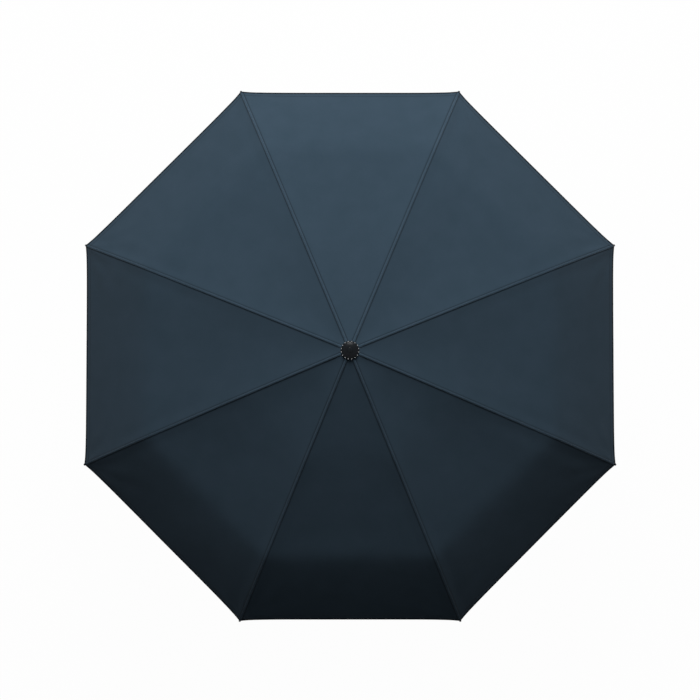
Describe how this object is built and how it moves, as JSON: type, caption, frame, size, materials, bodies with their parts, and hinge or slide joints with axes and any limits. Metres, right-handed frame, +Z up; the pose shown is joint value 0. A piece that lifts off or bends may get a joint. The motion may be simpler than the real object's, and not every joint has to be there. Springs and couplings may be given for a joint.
{
  "type": "folding umbrella",
  "caption": "Compact folding umbrella with an octagonal navy canopy, jointed ribs that fold in three, a telescopic shaft and a short straight handle with a push button.",
  "frame": {"origin": "centre of the handle's flat bottom, at the foot of the shaft's axis", "axes": "+Z up the shaft to the top cap; +Y is the canopy side that the picture shows at its top, and a panel (not a rib) faces +X, +Y, -X and -Y"},
  "size_m": [0.922, 0.922, 0.6012],
  "materials": {
    "navy_pongee": "satin",
    "soft_touch_grip": "matte",
    "moulded_nylon": "satin",
    "gloss_black": "gloss",
    "plated_tube": "polished",
    "spring_wire": "satin",
    "black_steel": "satin",
    "rib_aluminium": "satin",
    "black_fibreglass": "satin"
  },
  "bodies": {
    "handle": {"handle_grip": "soft_touch_grip", "handle_core": "moulded_nylon", "handle_end_cap": "gloss_black", "handle_collar": "plated_tube", "lower_tube": "plated_tube", "button_spring": "spring_wire", "main_spring": "spring_wire"},
    "button": {"push_button": "gloss_black"},
    "mid_shaft": {"mid_tube": "plated_tube", "mid_tube_bush": "moulded_nylon"},
    "crown": {"upper_tube": "plated_tube", "upper_tube_bush": "moulded_nylon", "top_notch": "moulded_nylon", "notch_wire": "spring_wire", "top_cap": "gloss_black", "canopy_cover": "navy_pongee"},
    "runner_body": {"runner": "moulded_nylon", "runner_wire": "spring_wire", "runner_sleeve": "plated_tube"},
    "top_rib_1": {"top_rib_1": "black_steel"},
    "stretcher_1": {"stretcher_1": "black_steel"},
    "control_link_1": {"control_link_1": "spring_wire"},
    "middle_rib_1": {"middle_rib_1": "rib_aluminium"},
    "outer_rib_1": {"outer_rib_1": "black_fibreglass"},
    "top_rib_2": {"top_rib_2": "black_steel"},
    "stretcher_2": {"stretcher_2": "black_steel"},
    "control_link_2": {"control_link_2": "spring_wire"},
    "middle_rib_2": {"middle_rib_2": "rib_aluminium"},
    "outer_rib_2": {"outer_rib_2": "black_fibreglass"},
    "top_rib_3": {"top_rib_3": "black_steel"},
    "stretcher_3": {"stretcher_3": "black_steel"},
    "control_link_3": {"control_link_3": "spring_wire"},
    "middle_rib_3": {"middle_rib_3": "rib_aluminium"},
    "outer_rib_3": {"outer_rib_3": "black_fibreglass"},
    "top_rib_4": {"top_rib_4": "black_steel"},
    "stretcher_4": {"stretcher_4": "black_steel"},
    "control_link_4": {"control_link_4": "spring_wire"},
    "middle_rib_4": {"middle_rib_4": "rib_aluminium"},
    "outer_rib_4": {"outer_rib_4": "black_fibreglass"},
    "top_rib_5": {"top_rib_5": "black_steel"},
    "stretcher_5": {"stretcher_5": "black_steel"},
    "control_link_5": {"control_link_5": "spring_wire"},
    "middle_rib_5": {"middle_rib_5": "rib_aluminium"},
    "outer_rib_5": {"outer_rib_5": "black_fibreglass"},
    "top_rib_6": {"top_rib_6": "black_steel"},
    "stretcher_6": {"stretcher_6": "black_steel"},
    "control_link_6": {"control_link_6": "spring_wire"},
    "middle_rib_6": {"middle_rib_6": "rib_aluminium"},
    "outer_rib_6": {"outer_rib_6": "black_fibreglass"},
    "top_rib_7": {"top_rib_7": "black_steel"},
    "stretcher_7": {"stretcher_7": "black_steel"},
    "control_link_7": {"control_link_7": "spring_wire"},
    "middle_rib_7": {"middle_rib_7": "rib_aluminium"},
    "outer_rib_7": {"outer_rib_7": "black_fibreglass"},
    "top_rib_8": {"top_rib_8": "black_steel"},
    "stretcher_8": {"stretcher_8": "black_steel"},
    "control_link_8": {"control_link_8": "spring_wire"},
    "middle_rib_8": {"middle_rib_8": "rib_aluminium"},
    "outer_rib_8": {"outer_rib_8": "black_fibreglass"}
  },
  "joints": [
    {"name": "shaft_slide", "type": "slide", "parent": "handle", "child": "mid_shaft", "axis": [0, 0, -1], "range_m": [0, 0.15], "deforming": ["main_spring"]},
    {"name": "crown_slide", "type": "slide", "parent": "mid_shaft", "child": "crown", "axis": [0, 0, -1], "range_m": [0, 0.15001]},
    {"name": "button_press", "type": "slide", "parent": "handle", "child": "button", "axis": [0, 1, 0], "range_m": [0, 0.0025], "stiffness_N_per_m": 400, "springref_m": -0.002, "deforming": ["button_spring"]},
    {"name": "canopy_fold", "type": "hinge", "parent": "crown", "child": "top_rib_1", "pos_m": [0.01063, 0.0044, 0.589], "axis": [-0.3827, 0.9239, 0], "range_deg": [0, 76], "deforming": ["canopy_cover"]},
    {"name": "stretcher_fold_1", "type": "hinge", "parent": "top_rib_1", "child": "stretcher_1", "pos_m": [0.09758, 0.04042, 0.56553], "axis": [-0.3827, 0.9239, 0], "range_deg": [-152.01, 0]},
    {"name": "link_turn_1", "type": "hinge", "parent": "stretcher_1", "child": "control_link_1", "pos_m": [0.08861, 0.03671, 0.56311], "axis": [-0.3827, 0.9239, 0], "range_deg": [0, 150.41]},
    {"name": "elbow_fold_1", "type": "hinge", "parent": "top_rib_1", "child": "middle_rib_1", "pos_m": [0.17709, 0.07335, 0.54696], "axis": [-0.3827, 0.9239, 0], "range_deg": [-183.01, 0]},
    {"name": "tip_fold_1", "type": "hinge", "parent": "middle_rib_1", "child": "outer_rib_1", "pos_m": [0.34345, 0.14226, 0.48606], "axis": [-0.3827, 0.9239, 0], "range_deg": [0, 163.01]},
    {"name": "rib_fold_2", "type": "hinge", "parent": "crown", "child": "top_rib_2", "pos_m": [0.0044, 0.01063, 0.589], "axis": [-0.9239, 0.3827, 0], "range_deg": [0, 76.01]},
    {"name": "stretcher_fold_2", "type": "hinge", "parent": "top_rib_2", "child": "stretcher_2", "pos_m": [0.04042, 0.09758, 0.56553], "axis": [-0.9239, 0.3827, 0], "range_deg": [-152.01, 0]},
    {"name": "link_turn_2", "type": "hinge", "parent": "stretcher_2", "child": "control_link_2", "pos_m": [0.03671, 0.08861, 0.56311], "axis": [-0.9239, 0.3827, 0], "range_deg": [0, 150.41]},
    {"name": "elbow_fold_2", "type": "hinge", "parent": "top_rib_2", "child": "middle_rib_2", "pos_m": [0.07335, 0.17709, 0.54696], "axis": [-0.9239, 0.3827, 0], "range_deg": [-183.01, 0]},
    {"name": "tip_fold_2", "type": "hinge", "parent": "middle_rib_2", "child": "outer_rib_2", "pos_m": [0.14226, 0.34345, 0.48606], "axis": [-0.9239, 0.3827, 0], "range_deg": [0, 163.01]},
    {"name": "rib_fold_3", "type": "hinge", "parent": "crown", "child": "top_rib_3", "pos_m": [-0.0044, 0.01063, 0.589], "axis": [-0.9239, -0.3827, 0], "range_deg": [0, 76.01]},
    {"name": "stretcher_fold_3", "type": "hinge", "parent": "top_rib_3", "child": "stretcher_3", "pos_m": [-0.04042, 0.09758, 0.56553], "axis": [-0.9239, -0.3827, 0], "range_deg": [-152.01, 0]},
    {"name": "link_turn_3", "type": "hinge", "parent": "stretcher_3", "child": "control_link_3", "pos_m": [-0.03671, 0.08861, 0.56311], "axis": [-0.9239, -0.3827, 0], "range_deg": [0, 150.41]},
    {"name": "elbow_fold_3", "type": "hinge", "parent": "top_rib_3", "child": "middle_rib_3", "pos_m": [-0.07335, 0.17709, 0.54696], "axis": [-0.9239, -0.3827, 0], "range_deg": [-183.01, 0]},
    {"name": "tip_fold_3", "type": "hinge", "parent": "middle_rib_3", "child": "outer_rib_3", "pos_m": [-0.14226, 0.34345, 0.48606], "axis": [-0.9239, -0.3827, 0], "range_deg": [0, 163.01]},
    {"name": "rib_fold_4", "type": "hinge", "parent": "crown", "child": "top_rib_4", "pos_m": [-0.01063, 0.0044, 0.589], "axis": [-0.3827, -0.9239, 0], "range_deg": [0, 76.01]},
    {"name": "stretcher_fold_4", "type": "hinge", "parent": "top_rib_4", "child": "stretcher_4", "pos_m": [-0.09758, 0.04042, 0.56553], "axis": [-0.3827, -0.9239, 0], "range_deg": [-152.01, 0]},
    {"name": "link_turn_4", "type": "hinge", "parent": "stretcher_4", "child": "control_link_4", "pos_m": [-0.08861, 0.03671, 0.56311], "axis": [-0.3827, -0.9239, 0], "range_deg": [0, 150.41]},
    {"name": "elbow_fold_4", "type": "hinge", "parent": "top_rib_4", "child": "middle_rib_4", "pos_m": [-0.17709, 0.07335, 0.54696], "axis": [-0.3827, -0.9239, 0], "range_deg": [-183.01, 0]},
    {"name": "tip_fold_4", "type": "hinge", "parent": "middle_rib_4", "child": "outer_rib_4", "pos_m": [-0.34345, 0.14226, 0.48606], "axis": [-0.3827, -0.9239, 0], "range_deg": [0, 163.01]},
    {"name": "rib_fold_5", "type": "hinge", "parent": "crown", "child": "top_rib_5", "pos_m": [-0.01063, -0.0044, 0.589], "axis": [0.3827, -0.9239, 0], "range_deg": [0, 76.01]},
    {"name": "stretcher_fold_5", "type": "hinge", "parent": "top_rib_5", "child": "stretcher_5", "pos_m": [-0.09758, -0.04042, 0.56553], "axis": [0.3827, -0.9239, 0], "range_deg": [-152.01, 0]},
    {"name": "link_turn_5", "type": "hinge", "parent": "stretcher_5", "child": "control_link_5", "pos_m": [-0.08861, -0.03671, 0.56311], "axis": [0.3827, -0.9239, 0], "range_deg": [0, 150.41]},
    {"name": "elbow_fold_5", "type": "hinge", "parent": "top_rib_5", "child": "middle_rib_5", "pos_m": [-0.17709, -0.07335, 0.54696], "axis": [0.3827, -0.9239, 0], "range_deg": [-183.01, 0]},
    {"name": "tip_fold_5", "type": "hinge", "parent": "middle_rib_5", "child": "outer_rib_5", "pos_m": [-0.34345, -0.14226, 0.48606], "axis": [0.3827, -0.9239, 0], "range_deg": [0, 163.01]},
    {"name": "rib_fold_6", "type": "hinge", "parent": "crown", "child": "top_rib_6", "pos_m": [-0.0044, -0.01063, 0.589], "axis": [0.9239, -0.3827, 0], "range_deg": [0, 76.01]},
    {"name": "stretcher_fold_6", "type": "hinge", "parent": "top_rib_6", "child": "stretcher_6", "pos_m": [-0.04042, -0.09758, 0.56553], "axis": [0.9239, -0.3827, 0], "range_deg": [-152.01, 0]},
    {"name": "link_turn_6", "type": "hinge", "parent": "stretcher_6", "child": "control_link_6", "pos_m": [-0.03671, -0.08861, 0.56311], "axis": [0.9239, -0.3827, 0], "range_deg": [0, 150.41]},
    {"name": "elbow_fold_6", "type": "hinge", "parent": "top_rib_6", "child": "middle_rib_6", "pos_m": [-0.07335, -0.17709, 0.54696], "axis": [0.9239, -0.3827, 0], "range_deg": [-183.01, 0]},
    {"name": "tip_fold_6", "type": "hinge", "parent": "middle_rib_6", "child": "outer_rib_6", "pos_m": [-0.14226, -0.34345, 0.48606], "axis": [0.9239, -0.3827, 0], "range_deg": [0, 163.01]},
    {"name": "rib_fold_7", "type": "hinge", "parent": "crown", "child": "top_rib_7", "pos_m": [0.0044, -0.01063, 0.589], "axis": [0.9239, 0.3827, 0], "range_deg": [0, 76.01]},
    {"name": "stretcher_fold_7", "type": "hinge", "parent": "top_rib_7", "child": "stretcher_7", "pos_m": [0.04042, -0.09758, 0.56553], "axis": [0.9239, 0.3827, 0], "range_deg": [-152.01, 0]},
    {"name": "link_turn_7", "type": "hinge", "parent": "stretcher_7", "child": "control_link_7", "pos_m": [0.03671, -0.08861, 0.56311], "axis": [0.9239, 0.3827, 0], "range_deg": [0, 150.41]},
    {"name": "elbow_fold_7", "type": "hinge", "parent": "top_rib_7", "child": "middle_rib_7", "pos_m": [0.07335, -0.17709, 0.54696], "axis": [0.9239, 0.3827, 0], "range_deg": [-183.01, 0]},
    {"name": "tip_fold_7", "type": "hinge", "parent": "middle_rib_7", "child": "outer_rib_7", "pos_m": [0.14226, -0.34345, 0.48606], "axis": [0.9239, 0.3827, 0], "range_deg": [0, 163.01]},
    {"name": "rib_fold_8", "type": "hinge", "parent": "crown", "child": "top_rib_8", "pos_m": [0.01063, -0.0044, 0.589], "axis": [0.3827, 0.9239, 0], "range_deg": [0, 76.01]},
    {"name": "stretcher_fold_8", "type": "hinge", "parent": "top_rib_8", "child": "stretcher_8", "pos_m": [0.09758, -0.04042, 0.56553], "axis": [0.3827, 0.9239, 0], "range_deg": [-152.01, 0]},
    {"name": "link_turn_8", "type": "hinge", "parent": "stretcher_8", "child": "control_link_8", "pos_m": [0.08861, -0.03671, 0.56311], "axis": [0.3827, 0.9239, 0], "range_deg": [0, 150.41]},
    {"name": "elbow_fold_8", "type": "hinge", "parent": "top_rib_8", "child": "middle_rib_8", "pos_m": [0.17709, -0.07335, 0.54696], "axis": [0.3827, 0.9239, 0], "range_deg": [-183.01, 0]},
    {"name": "tip_fold_8", "type": "hinge", "parent": "middle_rib_8", "child": "outer_rib_8", "pos_m": [0.34345, -0.14226, 0.48606], "axis": [0.3827, 0.9239, 0], "range_deg": [0, 163.01]},
    {"name": "runner_slide", "type": "hinge", "parent": "stretcher_1", "child": "runner_body", "pos_m": [0.01063, 0.0044, 0.54207], "axis": [-0.3827, 0.9239, 0], "range_deg": [0, 76.01]}
  ],
  "couplings": [
    {"joint": "crown_slide", "follows": "shaft_slide", "ratio": 1},
    {"joint": "stretcher_fold_1", "follows": "canopy_fold", "ratio": -2},
    {"joint": "link_turn_1", "follows": "canopy_fold", "ratio": 1.979},
    {"joint": "elbow_fold_1", "follows": "canopy_fold", "ratio": -2.4079},
    {"joint": "tip_fold_1", "follows": "canopy_fold", "ratio": 2.1447},
    {"joint": "rib_fold_2", "follows": "canopy_fold", "ratio": 1},
    {"joint": "stretcher_fold_2", "follows": "canopy_fold", "ratio": -2},
    {"joint": "link_turn_2", "follows": "canopy_fold", "ratio": 1.979},
    {"joint": "elbow_fold_2", "follows": "canopy_fold", "ratio": -2.4079},
    {"joint": "tip_fold_2", "follows": "canopy_fold", "ratio": 2.1447},
    {"joint": "rib_fold_3", "follows": "canopy_fold", "ratio": 1},
    {"joint": "stretcher_fold_3", "follows": "canopy_fold", "ratio": -2},
    {"joint": "link_turn_3", "follows": "canopy_fold", "ratio": 1.979},
    {"joint": "elbow_fold_3", "follows": "canopy_fold", "ratio": -2.4079},
    {"joint": "tip_fold_3", "follows": "canopy_fold", "ratio": 2.1447},
    {"joint": "rib_fold_4", "follows": "canopy_fold", "ratio": 1},
    {"joint": "stretcher_fold_4", "follows": "canopy_fold", "ratio": -2},
    {"joint": "link_turn_4", "follows": "canopy_fold", "ratio": 1.979},
    {"joint": "elbow_fold_4", "follows": "canopy_fold", "ratio": -2.4079},
    {"joint": "tip_fold_4", "follows": "canopy_fold", "ratio": 2.1447},
    {"joint": "rib_fold_5", "follows": "canopy_fold", "ratio": 1},
    {"joint": "stretcher_fold_5", "follows": "canopy_fold", "ratio": -2},
    {"joint": "link_turn_5", "follows": "canopy_fold", "ratio": 1.979},
    {"joint": "elbow_fold_5", "follows": "canopy_fold", "ratio": -2.4079},
    {"joint": "tip_fold_5", "follows": "canopy_fold", "ratio": 2.1447},
    {"joint": "rib_fold_6", "follows": "canopy_fold", "ratio": 1},
    {"joint": "stretcher_fold_6", "follows": "canopy_fold", "ratio": -2},
    {"joint": "link_turn_6", "follows": "canopy_fold", "ratio": 1.979},
    {"joint": "elbow_fold_6", "follows": "canopy_fold", "ratio": -2.4079},
    {"joint": "tip_fold_6", "follows": "canopy_fold", "ratio": 2.1447},
    {"joint": "rib_fold_7", "follows": "canopy_fold", "ratio": 1},
    {"joint": "stretcher_fold_7", "follows": "canopy_fold", "ratio": -2},
    {"joint": "link_turn_7", "follows": "canopy_fold", "ratio": 1.979},
    {"joint": "elbow_fold_7", "follows": "canopy_fold", "ratio": -2.4079},
    {"joint": "tip_fold_7", "follows": "canopy_fold", "ratio": 2.1447},
    {"joint": "rib_fold_8", "follows": "canopy_fold", "ratio": 1},
    {"joint": "stretcher_fold_8", "follows": "canopy_fold", "ratio": -2},
    {"joint": "link_turn_8", "follows": "canopy_fold", "ratio": 1.979},
    {"joint": "elbow_fold_8", "follows": "canopy_fold", "ratio": -2.4079},
    {"joint": "tip_fold_8", "follows": "canopy_fold", "ratio": 2.1447},
    {"joint": "runner_slide", "follows": "canopy_fold", "ratio": 1}
  ]
}
